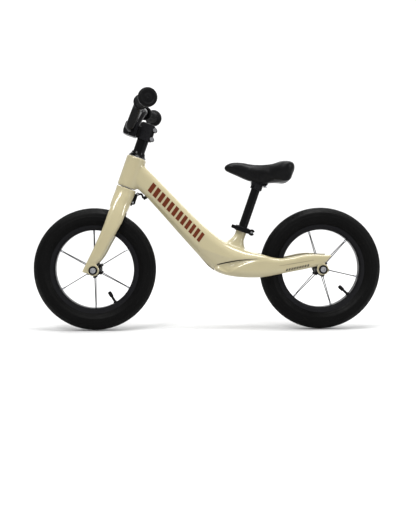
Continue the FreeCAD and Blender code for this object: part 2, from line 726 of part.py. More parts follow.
def around(angle, radius, across):
    """A point of a wheel whose centre is the origin, with the angle counted up from the rear."""
    turn = math.radians(angle)
    return vector(radius * math.cos(turn), across, radius * math.sin(turn))


def arc_between(start, middle, end):
    return Part.Arc(vector(start[0], start[1], 0), vector(middle[0], middle[1], 0),
                    vector(end[0], end[1], 0)).toShape()


def wheel_ring(edges):
    """A ring turned about the axle from a closed outline in (radius, across)."""
    return Part.Face(Part.Wire(edges)).revolve(vector(0, 0, 0), ACROSS, 360)


def straight(points):
    corners = [vector(radius, across, 0) for radius, across in points]
    return [Part.makeLine(start, end) for start, end in zip(corners, corners[1:])]


def tyre():
    bead_top = RIM_FLANGE_RADIUS + 1.0
    outside = math.sqrt(TYRE_SECTION_RADIUS ** 2 - (TYRE_SECTION_CENTRE - bead_top) ** 2)
    inner_radius = TYRE_SECTION_RADIUS - TYRE_WALL
    inside = math.sqrt(inner_radius ** 2 - (TYRE_SECTION_CENTRE - bead_top) ** 2)
    left_foot = [(bead_top, -outside), (bead_top - 0.7, -BEAD_OUTSIDE), (BEAD_SEAT_RADIUS, -BEAD_OUTSIDE),
                 (BEAD_SEAT_RADIUS, -BEAD_INSIDE), (bead_top, -inside)]
    right_foot = [(radius, -across) for radius, across in reversed(left_foot)]
    outer_arc = arc_between(right_foot[-1], (TYRE_RADIUS, 0), left_foot[0])
    inner_arc = arc_between(left_foot[-1], (TYRE_SECTION_CENTRE + inner_radius, 0), right_foot[0])
    return wheel_ring([outer_arc] + straight(left_foot) + [inner_arc] + straight(right_foot))


def inner_tube():
    centre = TYRE_SECTION_CENTRE + 0.3
    outside = TYRE_SECTION_RADIUS - TYRE_WALL - 0.9
    outer = Part.makeTorus(centre, outside, vector(0, 0, 0), ACROSS)
    return outer.cut(Part.makeTorus(centre, outside - 1.2, vector(0, 0, 0), ACROSS))


def rim_band():
    half = RIM_WIDTH / 2
    side = [(RIM_FLANGE_RADIUS, -RIM_FLANGE_INSIDE), (RIM_FLANGE_RADIUS, -half),
            (RIM_INNER_RADIUS + 4, -half), (RIM_INNER_RADIUS, -half + 5.5)]
    well = [(98.3, -7.0), (RIM_WELL_RADIUS, -TAPE_HALF_WIDTH - 0.3), (RIM_WELL_RADIUS, -RIM_FLANGE_INSIDE)]
    other_side = [(radius, -across) for radius, across in reversed(side)]
    other_well = [(radius, -across) for radius, across in reversed(well)]
    return wheel_ring(straight(side + other_side + other_well + well + side[:1]))


def spoke_holes(first_angle):
    """The rim's holes, each in line with its spoke."""
    holes = []
    for angle in spoke_angles(first_angle):
        for side in SIDES:
            start, end = spoke_line(angle, side)
            outward = (end - start).normalize()
            holes.append(cylinder(end - outward * NIPPLE_LENGTH, outward, NIPPLE_RADIUS, 2 * NIPPLE_LENGTH))
    return holes


def spoke_angles(first_angle):
    return [first_angle + 360 / SPOKE_PAIRS * k for k in range(SPOKE_PAIRS)]


def rim(first_angle, valve_angle):
    """The rim, with a joint block opposite the valve."""
    block = box(vector(97, -5, -9), vector(99.6, 5, 9))
    block.rotate(vector(0, 0, 0), ACROSS, 180 - valve_angle)
    valve_hole = cylinder(vector(0, 0, 0), around(valve_angle, 1, 0), VALVE_RADIUS, TYRE_RADIUS)
    return rim_band().fuse(block).cut(spoke_holes(first_angle) + [valve_hole])


def rim_tape(valve_angle):
    corners = [(RIM_WELL_RADIUS, -TAPE_HALF_WIDTH), (TAPE_RADIUS, -TAPE_HALF_WIDTH),
               (TAPE_RADIUS, TAPE_HALF_WIDTH), (RIM_WELL_RADIUS, TAPE_HALF_WIDTH)]
    band = wheel_ring(straight(corners + corners[:1]))
    return band.cut(cylinder(vector(0, 0, 0), around(valve_angle, 1, 0), VALVE_RADIUS, TYRE_RADIUS))


def spoke_line(angle, side):
    start = around(angle, LOBE_TOP - 5, side * HUB_FLANGE_OFFSET)
    end = around(angle, RIM_INNER_RADIUS + 2.5, side * SPOKE_RIM_OFFSET)
    return start, end


def spokes(first_angle):
    """Straight wires from the lobes of the hub to the rim, each with a round head."""
    wires = []
    for angle in spoke_angles(first_angle):
        for side in SIDES:
            start, end = spoke_line(angle, side)
            run = end - start
            wires.append(cylinder(start, run, SPOKE_DIAMETER / 2, run.Length - NIPPLE_LENGTH + 3))
    return Part.makeCompound(wires)


def nipples(first_angle):
    sleeves = []
    for angle in spoke_angles(first_angle):
        for side in SIDES:
            start, end = spoke_line(angle, side)
            inward = (start - end).normalize()
            sleeve = cylinder(end, inward, NIPPLE_RADIUS - 0.1, NIPPLE_LENGTH)
            bore = cylinder(start, inward * -1, SPOKE_DIAMETER / 2, (end - start).Length - NIPPLE_LENGTH + 3)
            sleeves.append(sleeve.cut(bore))
    return Part.makeCompound(sleeves)


def hub_shell(first_angle):
    profile = ((HUB_CORE_RADIUS, -HUB_HALF_LENGTH), (HUB_END_RADIUS, -HUB_HALF_LENGTH), (HUB_END_RADIUS, -19),
               (16.5, -18), (16.5, -12), (11.0, -9), (11.0, 9), (16.5, 12), (16.5, 18),
               (HUB_END_RADIUS, 19), (HUB_END_RADIUS, HUB_HALF_LENGTH), (HUB_CORE_RADIUS, HUB_HALF_LENGTH))
    body = turned(profile, vector(0, 0, 0), ACROSS)
    lobes = []
    holes = []
    for angle in spoke_angles(first_angle):
        for side in SIDES:
            start, end = spoke_line(angle, side)
            lobes.append(cylinder(around(angle, 8, side * HUB_FLANGE_OFFSET), around(angle, 1, 0),
                                  LOBE_RADIUS, LOBE_TOP - 8))
            holes.append(cylinder(start, end - start, SPOKE_DIAMETER / 2, 20))
    seats = [cylinder(ACROSS * side * HUB_HALF_LENGTH, ACROSS * -side, HUB_BEARING_DIAMETER / 2,
                      HUB_BEARING_WIDTH) for side in SIDES]
    core = cylinder(ACROSS * -THROUGH, ACROSS, HUB_CORE_RADIUS, 2 * THROUGH)
    return joined([body] + lobes).cut(seats + holes + [core])


def hub_bearings():
    return both_sides(tube(ACROSS * (HUB_HALF_LENGTH - HUB_BEARING_WIDTH), ACROSS,
                           HUB_BEARING_DIAMETER / 2, AXLE_DIAMETER / 2 + SHAFT_GAP, HUB_BEARING_WIDTH))


def valve_stem(angle):
    """The rubber stem, from the tube through the rim, with a thin collar at its foot."""
    inward = around(angle, -1, 0)
    stem = cylinder(around(angle, 106.0, 0), inward, VALVE_RADIUS - 0.1, 30)
    collar = cylinder(around(angle, RIM_INNER_RADIUS - FACE_GAP, 0), inward, VALVE_COLLAR_RADIUS, 2.2)
    return stem.fuse(collar).cut(inner_tube())


def valve_cap(angle):
    inward = around(angle, -1, 0)
    return cylinder(around(angle, 76.0, 0), inward, 4.2, 8).fuse(
        cylinder(around(angle, 68.0, 0), inward, 3.2, 1.2))


def wheel_nodes(name, axle, first_angle, valve_angle):
    shapes = {
        "tyre": tyre(),
        "inner_tube": inner_tube(),
        "rim": rim(first_angle, valve_angle),
        "rim_tape": rim_tape(valve_angle),
        "spokes": spokes(first_angle),
        "nipples": nipples(first_angle),
        "hub_shell": hub_shell(first_angle),
        "hub_bearings": hub_bearings(),
        "valve_stem": valve_stem(valve_angle),
        "valve_cap": valve_cap(valve_angle),
    }
    for shape in shapes.values():
        shape.translate(axle)
    return {f"{name}_{piece}": shape for piece, shape in shapes.items()}


# Axles and their fastenings

def axle_rod(axle):
    start = axle - ACROSS * DROPOUT_INSIDE
    return tube(start, ACROSS, AXLE_DIAMETER / 2, 4.0, OVER_LOCKNUT)


def axle_spacers(axle):
    start = HUB_HALF_LENGTH + FACE_GAP
    sleeve = tube(ACROSS * start, ACROSS, 8.5, AXLE_DIAMETER / 2, DROPOUT_INSIDE - start)
    pair = both_sides(sleeve)
    pair.translate(axle)
    return pair


def cup_washers(axle):
    """Deep round washers: each one hides the rim of its bolt head."""
    depth = CUP_WASHER_OUTSIDE - DROPOUT_OUTSIDE
    cup = cylinder(ACROSS * DROPOUT_OUTSIDE, ACROSS, CUP_WASHER_RADIUS, depth)
    recess = cylinder(ACROSS * (DROPOUT_OUTSIDE + 1.5), ACROSS, 7.4, depth)
    hole = cylinder(ACROSS * DROPOUT_OUTSIDE, ACROSS, BOLT_HOLE_RADIUS, depth)
    pair = both_sides(cup.cut([recess, hole]))
    pair.translate(axle)
    return pair


def axle_bolts(axle):
    bolt = socket_bolt(ACROSS * (DROPOUT_OUTSIDE + 1.5), ACROSS * -1, 4.0, 22, 6.5, 4.8)
    pair = both_sides(bolt)
    pair.translate(axle)
    return pair


# Steering limiter

LIMITER_PIN = (31.0, -6.0)
LIMITER_LOW_PIN = (27.0, -29.0)
LIMITER_PIN_RADIUS = 4.0
LIMITER_LOW_RADIUS = 5.5
LIMITER_ANCHOR = (47.0, -12.0)
LIMITER_STRAP_RADIUS = 2.4
LIMITER_STRAP_TOP = (40.0, -3.6)
LIMITER_ANCHOR_LENGTH = 11.5


def limiter_fork_bracket(fork):
    """A plate on the back of the crown with a knuckle at the top, in the steering directions."""
    plate = box(vector(18, -7, -38), vector(26.5, 7, -12))
    knuckle = cylinder(vector(LIMITER_PIN[0], -5, LIMITER_PIN[1]), ACROSS, LIMITER_PIN_RADIUS, 10)
    low_knuckle = cylinder(vector(LIMITER_LOW_PIN[0], -8, LIMITER_LOW_PIN[1]), ACROSS, LIMITER_LOW_RADIUS, 16)
    link = box(vector(25, -4, LIMITER_LOW_PIN[1]), vector(32, 4, LIMITER_PIN[1] - 1))
    return STEERING.place(joined([plate, knuckle, low_knuckle, link])).cut(fork)


def limiter_fork_screws():
    screws = [socket_bolt(vector(LIMITER_PIN[0], -5, LIMITER_PIN[1]), ACROSS, 1.4, 8, 2.4, 1.6),
              socket_bolt(vector(LIMITER_LOW_PIN[0], -8, LIMITER_LOW_PIN[1]), ACROSS, 1.4, 12, 2.4, 1.6)]
    return STEERING.place(Part.makeCompound(screws))


def limiter_frame_anchor(frame):
    """A short post under the beam."""
    beam_side = vector(LIMITER_ANCHOR[0] + 8, 0, LIMITER_ANCHOR[1] + 9)
    foot = vector(LIMITER_ANCHOR[0], 0, LIMITER_ANCHOR[1])
    post = cylinder(foot, beam_side - foot, 4.2, LIMITER_ANCHOR_LENGTH)
    return STEERING.place(post).cut(frame)


def limiter_strap():
    """The rubber strap that arches from the fork to the frame and springs the steering straight."""
    start = vector(LIMITER_PIN[0] + 3, 0, LIMITER_PIN[1])
    top = vector(LIMITER_STRAP_TOP[0], 0, LIMITER_STRAP_TOP[1])
    end = vector(LIMITER_ANCHOR[0] - 1, 0, LIMITER_ANCHOR[1] + 1)
    path = Part.Wire([Part.Arc(start, top, end).toShape()])
    return STEERING.place(swept_rod(path, LIMITER_STRAP_RADIUS))


def build_nodes():
    frame = frame_casting()
    fork = fork_casting()
    bracket = limiter_fork_bracket(fork)
    fork_screws = limiter_fork_screws()
    anchor = limiter_frame_anchor(frame)
    cushion = saddle_cushion()
    bolt = saddle_clamp_bolt()
    clamp = saddle_clamp().cut(bolt)
    nodes = {
        "frame_casting": frame,
        "upper_headset_bearing": headset_bearing(HEAD_TUBE_LENGTH - HEADSET_BEARING_WIDTH),
        "lower_headset_bearing": headset_bearing(FACE_GAP),
        "seat_clamp_collar": seat_clamp_collar(),
        "seat_clamp_skewer": seat_clamp_skewer(),
        "seat_clamp_nut": seat_clamp_nut(),
        "rear_axle": axle_rod(REAR_AXLE),
        "rear_axle_bolts": axle_bolts(REAR_AXLE),
        "rear_cup_washers": cup_washers(REAR_AXLE),
        "rear_axle_spacers": axle_spacers(REAR_AXLE),
        "limiter_frame_anchor": anchor,
        "fork_casting": fork,
        "steerer_tube": steerer_tube(),
        "compression_ring": compression_ring(),
        "headset_cover": headset_cover(),
        "star_nut": star_nut(),
        "top_cap": top_cap(),
        "top_cap_bolt": top_cap_bolt(),
        "stem_body": stem_body(),
        "stem_faceplate": stem_faceplate(),
        "faceplate_bolts": faceplate_bolts(),
        "stem_clamp_bolts": stem_clamp_bolts(),
        "front_axle": axle_rod(FRONT_AXLE),
        "front_axle_bolts": axle_bolts(FRONT_AXLE),
        "front_cup_washers": cup_washers(FRONT_AXLE),
        "front_axle_spacers": axle_spacers(FRONT_AXLE),
        "limiter_fork_bracket": bracket.cut(fork_screws),
        "limiter_fork_screws": fork_screws,
        "limiter_strap": limiter_strap().cut([bracket, anchor]),
        "handlebar_tube": handlebar_tube(),
        "left_grip": mirrored(grip()),
        "right_grip": grip(),
        "seat_clamp_lever": seat_clamp_lever(),
        "seat_clamp_lever_pin": seat_clamp_lever_pin(),
        "seat_post": seat_post(),
        "saddle_clamp": clamp,
        "saddle_clamp_bolt": bolt,
        "saddle_base": saddle_base(cushion, clamp, bolt),
        "saddle_cushion": cushion,
    }
    nodes.update(wheel_nodes("front", FRONT_AXLE, FRONT_SPOKE_ANGLE, FRONT_VALVE_ANGLE))
    nodes.update(wheel_nodes("rear", REAR_AXLE, REAR_SPOKE_ANGLE, REAR_VALVE_ANGLE))
    return nodes


def main():
    os.makedirs("parts", exist_ok=True)
    for name, shape in build_nodes().items():
        shape.exportStep(os.path.join("parts", name + ".step"))
        print(f"{name}: {len(shape.Solids)} solids, {shape.Volume / 1000:.1f} cm3, valid {shape.isValid()}")


main()
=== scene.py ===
import json
import math

import bmesh
import bpy
import numpy as np
from mathutils import Matrix, Vector
from mathutils.bvhtree import BVHTree


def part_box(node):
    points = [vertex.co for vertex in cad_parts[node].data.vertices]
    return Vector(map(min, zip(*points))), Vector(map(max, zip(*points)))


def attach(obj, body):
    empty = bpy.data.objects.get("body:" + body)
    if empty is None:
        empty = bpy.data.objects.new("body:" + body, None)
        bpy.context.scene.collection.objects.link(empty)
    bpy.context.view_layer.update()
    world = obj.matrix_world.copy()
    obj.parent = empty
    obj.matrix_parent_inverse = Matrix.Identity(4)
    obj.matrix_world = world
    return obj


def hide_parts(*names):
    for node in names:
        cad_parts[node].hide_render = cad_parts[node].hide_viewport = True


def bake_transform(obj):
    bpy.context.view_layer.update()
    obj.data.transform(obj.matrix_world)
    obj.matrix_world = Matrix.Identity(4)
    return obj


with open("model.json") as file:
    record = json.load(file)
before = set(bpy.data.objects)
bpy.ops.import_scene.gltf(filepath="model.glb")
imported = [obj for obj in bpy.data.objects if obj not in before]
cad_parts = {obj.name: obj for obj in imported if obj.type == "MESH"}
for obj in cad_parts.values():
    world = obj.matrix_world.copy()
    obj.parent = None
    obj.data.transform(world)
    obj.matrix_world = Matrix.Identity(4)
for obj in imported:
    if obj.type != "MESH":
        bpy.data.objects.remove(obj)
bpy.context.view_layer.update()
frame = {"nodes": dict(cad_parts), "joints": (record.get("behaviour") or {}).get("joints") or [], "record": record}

MM = 0.001
JOINTS = {joint["name"]: joint for joint in frame["joints"]}
ACROSS = Vector((0, 1, 0))


class TiltedAxis:
    """A line in the mid-plane, with distances behind it, across the bike and along it."""

    def __init__(self, foot, along):
        self.foot = Vector(foot)
        self.along = Vector(along).normalized()
        self.behind = ACROSS.cross(self.along)

    def at(self, behind, across, along):
        return self.foot + (self.behind * behind + ACROSS * across + self.along * along) * MM

    def split(self, points):
        """Distances behind, across and along, in millimetres, of an array of points."""
        offset = (points - np.array(self.foot)) / MM
        return offset @ np.array(self.behind), offset[:, 1], offset @ np.array(self.along)


STEERING = TiltedAxis(JOINTS["steering"]["pos_m"], JOINTS["steering"]["axis"])
FRONT_AXLE = Vector(JOINTS["front_wheel_spin"]["pos_m"])
REAR_AXLE = Vector(JOINTS["rear_wheel_spin"]["pos_m"])
BAR_CENTRE = Vector(JOINTS["handlebar_tilt"]["pos_m"])


# Materials

def srgb(red, green, blue):
    """A colour in linear light from 0-255 display values."""
    def linear(value):
        value /= 255
        return value / 12.92 if value <= 0.04045 else ((value + 0.055) / 1.055) ** 2.4
    return (linear(red), linear(green), linear(blue), 1.0)


def shaded(colour, factor):
    return tuple(min(1.0, channel * factor) for channel in colour[:3]) + (1.0,)


class Finish:
    """A Principled material with its own noise for colour, roughness and relief."""

    def __init__(self, name, colour, roughness, metallic=0.0, coat=0.0, coat_roughness=0.05, specular=0.5):
        self.material = bpy.data.materials.new(name)
        self.material.use_nodes = True
        self.tree = self.material.node_tree
        self.shader = self.tree.nodes["Principled BSDF"]
        self.colour = colour
        self.roughness = roughness
        self.set("Metallic", metallic)
        self.set("Coat Weight", coat)
        self.set("Coat Roughness", coat_roughness)
        self.set("Specular IOR Level", specular)
        self.set("Base Color", colour)
        self.set("Roughness", roughness)
        self.place = self.add("ShaderNodeTexCoord").outputs["Object"]
        self.normal = None

    def set(self, socket, value):
        self.shader.inputs[socket].default_value = value

    def add(self, kind, **settings):
        node = self.tree.nodes.new(kind)
        for key, value in settings.items():
            setattr(node, key, value)
        return node

    def link(self, source, target):
        self.tree.links.new(source, target)

    def noise(self, scale, detail=4.0, stretch=None):
        """Noise with features about 1/scale metres wide, stretched along an axis if asked."""
        node = self.add("ShaderNodeTexNoise")
        node.inputs["Scale"].default_value = scale
        node.inputs["Detail"].default_value = detail
        place = self.place
        if stretch:
            mapping = self.add("ShaderNodeMapping")
            mapping.inputs["Scale"].default_value = stretch
            self.link(place, mapping.inputs["Vector"])
            place = mapping.outputs["Vector"]
        self.link(place, node.inputs["Vector"])
        return node.outputs["Fac"]

    def cells(self, scale):
        node = self.add("ShaderNodeTexVoronoi", feature="SMOOTH_F1")
        node.inputs["Scale"].default_value = scale
        self.link(self.place, node.inputs["Vector"])
        return node.outputs["Distance"]

    def mottle(self, scale, darker, lighter):
        """Colour that drifts between a darker and a lighter shade of the base."""
        ramp = self.add("ShaderNodeMix", data_type="RGBA")
        self.link(self.noise(scale), ramp.inputs["Factor"])
        ramp.inputs["A"].default_value = shaded(self.colour, darker)
        ramp.inputs["B"].default_value = shaded(self.colour, lighter)
        self.base = ramp.outputs["Result"]
        self.link(self.base, self.shader.inputs["Base Color"])
        return self

    def worn_edges(self, colour, start=0.53, end=0.6):
        """A second colour on the sharpest outer edges."""
        edge = self.add("ShaderNodeMapRange")
        geometry = self.add("ShaderNodeNewGeometry")
        self.link(geometry.outputs["Pointiness"], edge.inputs["Value"])
        edge.inputs["From Min"].default_value = start
        edge.inputs["From Max"].default_value = end
        mix = self.add("ShaderNodeMix", data_type="RGBA")
        self.link(edge.outputs["Result"], mix.inputs["Factor"])
        self.link(self.base, mix.inputs["A"])
        mix.inputs["B"].default_value = colour
        self.base = mix.outputs["Result"]
        self.link(self.base, self.shader.inputs["Base Color"])
        return self

    def uneven(self, scale, spread, stretch=None):
        """Roughness that varies by the spread around its value."""
        spread_node = self.add("ShaderNodeMapRange")
        self.link(self.noise(scale, 6.0, stretch), spread_node.inputs["Value"])
        spread_node.inputs["From Min"].default_value = 0.3
        spread_node.inputs["From Max"].default_value = 0.7
        spread_node.inputs["To Min"].default_value = max(0.02, self.roughness - spread)
        spread_node.inputs["To Max"].default_value = min(1.0, self.roughness + spread)
        self.link(spread_node.outputs["Result"], self.shader.inputs["Roughness"])
        return self

    def relief(self, height, strength, distance):
        """Fine relief from a height output."""
        bump = self.add("ShaderNodeBump")
        bump.inputs["Strength"].default_value = strength
        bump.inputs["Distance"].default_value = distance
        self.link(height, bump.inputs["Height"])
        if self.normal:
            self.link(self.normal, bump.inputs["Normal"])
        self.normal = bump.outputs["Normal"]
        self.link(self.normal, self.shader.inputs["Normal"])
        return self


def cream_paint():
    """Gloss enamel over a casting: slight orange peel and a clear coat."""
    paint = Finish("cream_paint", srgb(164, 155, 123), 0.36, coat=1.0, coat_roughness=0.07, specular=0.2)
    paint.mottle(9, 0.965, 1.02).uneven(60, 0.05)
    return paint.relief(paint.noise(420, 2.0), 0.10, 0.0004).material


def black_alloy():
    """Black anodised aluminium with a satin sheen."""
    metal = Finish("black_alloy", srgb(10, 10, 11), 0.3, metallic=0.05, specular=0.08)
    metal.mottle(40, 0.8, 1.25).worn_edges(srgb(24, 24, 26)).uneven(300, 0.07)
    return metal.relief(metal.noise(2200, 3.0), 0.12, 0.0002).material


def gloss_black():
    """Gloss black paint on the steerer, the seat post and the handlebar."""
    paint = Finish("gloss_black", srgb(7, 7, 8), 0.16, specular=0.13)
    paint.mottle(30, 0.8, 1.2).uneven(120, 0.06)
    return paint.relief(paint.noise(700, 2.0), 0.06, 0.0003).material


def rim_black():
    """Black anodised rim, with fine turning lines."""
    metal = Finish("rim_black", srgb(10, 10, 11), 0.32, metallic=0.04, specular=0.08)
    metal.mottle(25, 0.85, 1.2).worn_edges(srgb(22, 22, 24)).uneven(180, 0.06)
    return metal.relief(metal.noise(900, 2.0, (1, 6, 1)), 0.08, 0.0002).material


def black_plastic():
    """Moulded plastic with a fine spark-eroded grain."""
    plastic = Finish("black_plastic", srgb(11, 11, 12), 0.42, specular=0.09)
    plastic.mottle(50, 0.85, 1.2).uneven(200, 0.08)
    return plastic.relief(plastic.cells(1900), 0.2, 0.00025).material


def grip_rubber():
    """Soft grip rubber: matt, with a little dust."""
    rubber = Finish("grip_rubber", srgb(12, 12, 13), 0.5, specular=0.08)
    rubber.mottle(60, 0.75, 1.35).uneven(250, 0.1)
    return rubber.relief(rubber.noise(1600, 4.0), 0.25, 0.0003).material


def tyre_rubber():
    """Tyre rubber: black with a faint sheen, and dust in patches."""
    rubber = Finish("tyre_rubber", srgb(8, 8, 8), 0.48, specular=0.055)
    rubber.mottle(22, 0.7, 1.4).uneven(90, 0.12)
    return rubber.relief(rubber.noise(1300, 5.0), 0.22, 0.0003).material


def tube_rubber():
    rubber = Finish("tube_rubber", srgb(12, 12, 12), 0.55, specular=0.2)
    rubber.mottle(80, 0.8, 1.3).uneven(200, 0.08)
    return rubber.relief(rubber.noise(1500, 3.0), 0.2, 0.0002).material


def saddle_vinyl():
    """Vinyl with a fine leather grain."""
    vinyl = Finish("saddle_vinyl", srgb(10, 10, 11), 0.36, specular=0.1)
    vinyl.mottle(35, 0.8, 1.25).uneven(120, 0.07)
    vinyl.relief(vinyl.cells(750), 0.28, 0.0004)
    return vinyl.relief(vinyl.noise(2400, 4.0), 0.12, 0.0002).material


def steel(name, colour, roughness, scale):
    """Bare steel with fine brushed lines."""
    metal = Finish(name, colour, roughness, metallic=1.0)
    metal.mottle(70, 0.8, 1.1).uneven(scale, 0.08, (1, 5, 1))
    return metal.relief(metal.noise(1800, 3.0, (1, 8, 1)), 0.1, 0.0001).material


def maroon_ink():
    ink = Finish("maroon_ink", srgb(88, 38, 20), 0.4, specular=0.12)
    ink.mottle(30, 0.9, 1.1).uneven(80, 0.05)
    return ink.relief(ink.noise(500, 2.0), 0.08, 0.0003).material


def dark_ink_and_shadow():
    # Dark ink for the stay ticks and stay lines, also used for the lip stripe, which paints the shadow line under
    # the lip.
    ink = Finish("dark_ink_and_shadow", srgb(30, 25, 20), 0.4, specular=0.12)
    ink.mottle(60, 0.85, 1.15).uneven(80, 0.05)
    return ink.relief(ink.noise(500, 2.0), 0.08, 0.0003).material


MATERIALS = {
    "cream_paint": cream_paint(),
    "black_alloy": black_alloy(),
    "gloss_black": gloss_black(),
    "black_rim": rim_black(),
    "black_plastic": black_plastic(),
    "grip_rubber": grip_rubber(),
    "tyre_rubber": tyre_rubber(),
    "tube_rubber": tube_rubber(),
    "saddle_vinyl": saddle_vinyl(),
    "bright_steel": steel("bright_steel", srgb(176, 177, 180), 0.28, 300),
    "spoke_steel": steel("spoke_steel", srgb(52, 52, 54), 0.34, 400),
    "maroon_ink": maroon_ink(),
    "dark_ink_and_shadow": dark_ink_and_shadow(),
}
GLOSS_NODES = ("steerer_tube", "seat_post", "handlebar_tube", "headset_cover")


def dress_cad_nodes():
    """Gives every CAD node the detailed material of its slot."""
    slots = {row["node"]: row["material_slot"] for row in frame["record"]["subparts"]}
    for name, node in frame["nodes"].items():
        material = MATERIALS["gloss_black" if name in GLOSS_NODES else slots[name]]
        node.data.materials.clear()
        node.data.materials.append(material)


# Mesh helpers

def new_piece(name, points, faces, material, smooth=True):
    mesh = bpy.data.meshes.new(name)
    mesh.from_pydata([tuple(point) for point in points], [], [tuple(face) for face in faces])
    mesh.materials.append(MATERIALS[material])
    mesh.update()
    piece = bpy.data.objects.new(name, mesh)
    bpy.context.scene.collection.objects.link(piece)
    if smooth:
        mesh.polygons.foreach_set("use_smooth", [True] * len(mesh.polygons))
    return piece


def read_points(mesh):
    points = np.empty(len(mesh.vertices) * 3)
    mesh.vertices.foreach_get("co", points)
    return points.reshape(-1, 3)


def write_points(mesh, points):
    mesh.vertices.foreach_set("co", points.ravel())
    mesh.update()


def read_edges(mesh):
    edges = np.empty(len(mesh.edges) * 2, dtype=np.int64)
    mesh.edges.foreach_get("vertices", edges)
    return edges.reshape(-1, 2)


def apply_modifiers(piece):
    """Replaces the piece's mesh by what its modifiers make of it."""
    graph = bpy.context.evaluated_depsgraph_get()
    mesh = bpy.data.meshes.new_from_object(piece.evaluated_get(graph))
    piece.modifiers.clear()
    piece.data = mesh
    return piece


def neighbour_mean(points, edges):
    total = np.zeros_like(points)
    count = np.bincount(edges.ravel(), minlength=len(points))
    for axis in range(3):
        total[:, axis] = (np.bincount(edges[:, 0], points[edges[:, 1], axis], len(points))
                          + np.bincount(edges[:, 1], points[edges[:, 0], axis], len(points)))
    return total / np.maximum(count, 1)[:, None]


def relax(points, edges, weight, rounds, shrink_guard=0.0):
    """Evens out the surface where the weight is above 0; the guard pushes back against shrinking."""
    weight = weight[:, None]
    for _ in range(rounds):
        points = points + weight * 0.6 * (neighbour_mean(points, edges) - points)
        if shrink_guard:
            points = points - weight * shrink_guard * (neighbour_mean(points, edges) - points)
    return points


def fix_normals(piece):
    work = bmesh.new()
    work.from_mesh(piece.data)
    bmesh.ops.recalc_face_normals(work, faces=work.faces)
    work.to_mesh(piece.data)
    work.free()


def largest_part(mesh):
    """Keeps only the outer skin: the connected part that reaches furthest."""
    work = bmesh.new()
    work.from_mesh(mesh)
    work.verts.ensure_lookup_table()
    outermost = max(work.verts, key=lambda vertex: vertex.co.x)
    reached = {outermost}
    queue = [outermost]
    while queue:
        vertex = queue.pop()
        for edge in vertex.link_edges:
            other = edge.other_vert(vertex)
            if other not in reached:
                reached.add(other)
                queue.append(other)
    bmesh.ops.delete(work, geom=[vertex for vertex in work.verts if vertex not in reached], context="VERTS")
    work.to_mesh(mesh)
    work.free()


def soft_copy(nodes, name, material, voxel):
    """An evenly meshed copy of the outer skin of one or more CAD nodes."""
    work = bmesh.new()
    for node in nodes:
        work.from_mesh(frame["nodes"][node].data)
    mesh = bpy.data.meshes.new(name)
    work.to_mesh(mesh)
    work.free()
    piece = bpy.data.objects.new(name, mesh)
    bpy.context.scene.collection.objects.link(piece)
    remesh = piece.modifiers.new("remesh", "REMESH")
    remesh.mode = "VOXEL"
    remesh.voxel_size = voxel
    apply_modifiers(piece)
    largest_part(piece.data)
    piece.data.materials.clear()
    piece.data.materials.append(MATERIALS[material])
    piece.data.polygons.foreach_set("use_smooth", [True] * len(piece.data.polygons))
    return piece


def ramp(value, low, high):
    """0 below low, 1 above high, smooth between."""
    t = np.clip((value - low) / (high - low), 0, 1)
    return t * t * (3 - 2 * t)


def near(points, centre, radius):
    """1 at the centre, falling to 0 at the radius."""
    distance = np.linalg.norm(points - np.array(centre), axis=1) / MM
    return 1 - ramp(distance, radius * 0.45, radius)


# Frame and fork shells

# The beam's own directions, and the part of its lower edge that is straight, in millimetres.
BEAM_ALONG = Vector((0.7008, 0, -0.7133))
BEAM_UP = Vector((0.7133, 0, 0.7008))
BEAM_RUN = (-335.0, -115.0)
BEAM_STEP = 5.0
UNDERSIDE_REACH = 26.0
SHELL_VOXEL = 1.3 * MM
# Lines on the side of the frame, as (x, z) in millimetres.
BEAM_CREASE = ((-163, 348), (-150, 335), (-20, 203), (11, 191), (42, 180), (73, 174.5), (95, 174), (130, 175))
LIP_LINE = ((14, 156.5), (21, 160), (42, 165), (72, 170.7), (95, 173.5), (118, 175), (141, 175), (162, 174.5))
LEAF_LINE = (
    (14, 156), (25, 155.5), (37, 148.5), (48, 144), (68, 155.5),
    (92, 165), (116, 170.5), (138, 173), (162, 174),
)
SCOOP_DEPTH = ((14, 0), (30, 3), (50, 6.5), (66, 7), (92, 5), (125, 2.0), (158, 0))
UNDERSIDE_SLOPE = 0.26
# Where the frame's limbs run into each other: a place in metres and a reach in millimetres.
FRAME_FILLETS = (
    ((-0.150, 0, 0.402), 34), ((-0.163, 0, 0.347), 24),
    ((-0.156, -0.02, 0.375), 30), ((-0.156, 0.02, 0.375), 30),
    ((0.050, 0, 0.221), 38), ((0.100, 0, 0.193), 42),
    ((0.075, -0.02, 0.205), 40), ((0.075, 0.02, 0.205), 40),
)


def along_line(x, line):
    """The height of a line of points at each x."""
    return np.interp(x, [point[0] for point in line], [point[1] for point in line])


def slope_underside(points):
    """Turns the beam's lower flank inwards below its crease, down to the lip."""
    x, y, z = (points / MM).T
    below = along_line(x, BEAM_CREASE) - z
    room = along_line(x, BEAM_CREASE) - along_line(x, LIP_LINE)
    reach = np.where(x < LIP_LINE[0][0], 60.0, np.maximum(room, 0.5))
    push = UNDERSIDE_SLOPE * np.clip(below, 0, reach)
    under_leaf = ramp(along_line(x, LEAF_LINE) - z, -1.0, 5.0) * (x > LIP_LINE[0][0])
    inside = ramp(np.abs(y), 8.0, 16.0) * (x > -150) * (1 - ramp(x, 75, 110)) * (1 - under_leaf)
    points[:, 1] -= np.sign(y) * push * inside * MM
    return points


